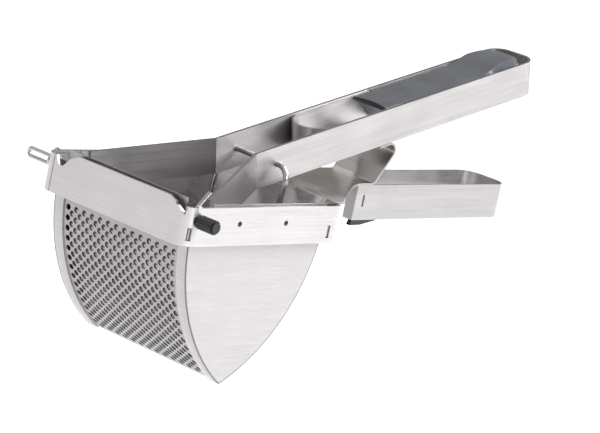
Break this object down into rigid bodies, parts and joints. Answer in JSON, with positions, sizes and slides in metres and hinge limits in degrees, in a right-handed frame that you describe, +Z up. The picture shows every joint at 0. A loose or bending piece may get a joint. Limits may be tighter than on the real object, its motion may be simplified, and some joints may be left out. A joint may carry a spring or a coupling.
{
  "type": "potato ricer",
  "caption": "Hand-held stainless potato ricer: V-shaped hopper with a curved sieve in a strip frame, and a lever that swings a curved press plate about a cross pin.",
  "frame": {"origin": "middle of the lower edge of the frame's front wall, which the part rests on over a bowl", "axes": "+X runs back from the hopper along the lower handle, +Y to the side with the pin's pull loop, +Z up, square to the frame's lower edge"},
  "size_m": [0.3045, 0.1392, 0.1676],
  "materials": {
    "steel": "fine brushed stainless, satin",
    "black_plastic": "black moulded, fine ribs",
    "grip_plastic": "dark grey moulded, satin",
    "dark_plastic": "black moulded, satin"
  },
  "bodies": {
    "frame": {"frame_band": "steel", "front_cross_bar": "steel", "side_plate_near": "steel", "side_plate_far": "steel", "front_sieve": "steel", "rear_wall": "steel", "hopper_lugs": "steel", "stop_guard": "steel", "lower_handle": "steel", "handle_cross_bar": "steel", "heel_pads": "dark_plastic"},
    "pin": {"pivot_pin": "steel", "end_knob": "black_plastic", "pin_collar": "steel", "pull_loop": "steel"},
    "lever": {"lever_strip": "steel", "handle_liner": "steel", "grip_insert": "grip_plastic", "spacer_washers": "steel"},
    "press": {"press_plate": "steel", "press_hinge_tube": "steel", "press_eyelets": "steel", "wire_bail": "steel"}
  },
  "joints": [
    {"name": "lever_swing", "type": "hinge", "parent": "frame", "child": "lever", "pos_m": [0.00865, 0, 0.0129], "axis": [0, -1, 0], "range_deg": [0, 85]},
    {"name": "press_swing", "type": "hinge", "parent": "frame", "child": "press", "pos_m": [0.00865, 0, 0.0129], "axis": [0, -1, 0], "range_deg": [0, 85]},
    {"name": "pin_turn", "type": "hinge", "parent": "frame", "child": "pin", "pos_m": [0.00865, 0, 0.0129], "axis": [0, 1, 0], "continuous": true}
  ],
  "couplings": [
    {"joint": "press_swing", "follows": "lever_swing", "ratio": 1}
  ]
}
